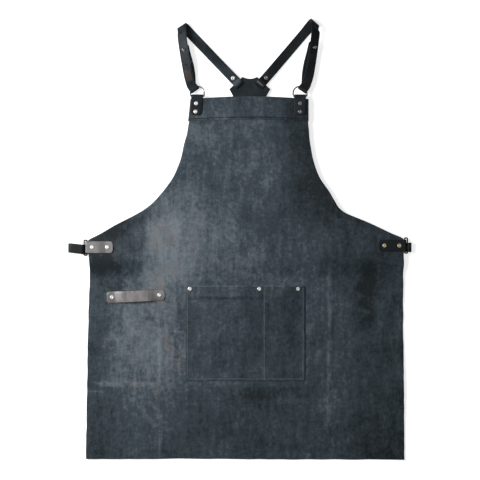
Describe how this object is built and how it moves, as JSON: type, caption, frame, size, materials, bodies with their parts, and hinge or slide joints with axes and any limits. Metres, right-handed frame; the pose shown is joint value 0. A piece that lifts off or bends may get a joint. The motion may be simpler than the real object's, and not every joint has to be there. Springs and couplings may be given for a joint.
{
  "type": "leather work apron",
  "caption": "Cross-back leather work apron lying flat: bib, ring tabs, back yoke with shoulder and waist straps, divided tool pocket and towel loop.",
  "frame": {"origin": "on the flat back face of the body, above the middle of the hem, in the plane that the apron lies on", "axes": "+X to the viewer's right, +Y towards the bib and the strap tops, +Z out of the front face, up from the surface"},
  "size_m": [0.7038, 0.9015, 0.0216],
  "materials": {
    "hide": "waxed, mottled",
    "worn_hide": "glossy, worn",
    "tab_hide": "waxed",
    "strap_hide": "smooth, semi-matt",
    "steel": "nickel plated",
    "black_ring": "black",
    "rivet": "polished, nickel tinged",
    "rivet_back": "dull"
  },
  "bodies": {
    "apron": {"apron_body": "hide", "bib_band": "hide", "pocket_rivet_caps": "rivet", "pocket_rivet_posts": "rivet_back", "ring_tab_left": "tab_hide", "ring_tab_right": "tab_hide", "ring_tab_rivet_caps": "tab_hide", "ring_tab_rivet_posts": "tab_hide", "side_tab_left": "worn_hide", "side_tab_right": "tab_hide", "side_tab_rivet_caps": "rivet", "side_tab_rivet_posts": "rivet_back", "tool_pocket": "hide", "towel_loop": "worn_hide", "towel_loop_rivet_caps": "rivet", "towel_loop_rivet_posts": "rivet_back", "waist_strap_left": "strap_hide", "waist_strap_left_screw": "steel", "waist_strap_right": "strap_hide", "waist_strap_right_screw": "steel"},
    "harness": {"back_yoke": "strap_hide", "d_ring_left": "steel", "d_ring_right": "steel", "shoulder_strap_left_ring_loop": "strap_hide", "shoulder_strap_left_yoke_loop": "strap_hide", "shoulder_strap_right_ring_loop": "strap_hide", "shoulder_strap_right_yoke_loop": "strap_hide", "waist_strap_left_yoke_loop": "strap_hide", "waist_strap_right_yoke_loop": "strap_hide", "yoke_rivet_caps": "rivet", "yoke_rivet_posts": "rivet_back"},
    "left_strap": {"shoulder_strap_left": "strap_hide", "shoulder_strap_left_tail": "strap_hide", "strap_stud_left": "steel", "strap_stud_left_screw": "steel"},
    "right_strap": {"shoulder_strap_right": "strap_hide", "shoulder_strap_right_tail": "strap_hide", "strap_stud_right": "steel", "strap_stud_right_screw": "steel"},
    "left_side_ring": {"side_ring_left": "black_ring"},
    "right_side_ring": {"side_ring_right": "black_ring"}
  },
  "joints": [
    {"name": "harness_lift", "type": "hinge", "parent": "apron", "child": "harness", "pos_m": [0, 0.5646, 0.011], "axis": [1, 0, 0], "range_deg": [0, 30]},
    {"name": "left_strap_swing", "type": "hinge", "parent": "harness", "child": "left_strap", "pos_m": [-0.1178, 0.58956, 0.0066], "axis": [0.9719, 0.2345, -0.0217], "range_deg": [0, 70]},
    {"name": "right_strap_swing", "type": "hinge", "parent": "harness", "child": "right_strap", "pos_m": [0.1203, 0.58956, 0.0066], "axis": [0.9658, -0.2584, 0.0227], "range_deg": [0, 70]},
    {"name": "left_side_ring_swing", "type": "hinge", "parent": "apron", "child": "left_side_ring", "pos_m": [-0.3296, 0.256, 0.0101], "axis": [0, 1, 0], "range_deg": [0, 9]},
    {"name": "right_side_ring_swing", "type": "hinge", "parent": "apron", "child": "right_side_ring", "pos_m": [0.3204, 0.2593, 0.0101], "axis": [0, -1, 0], "range_deg": [0, 9]}
  ]
}
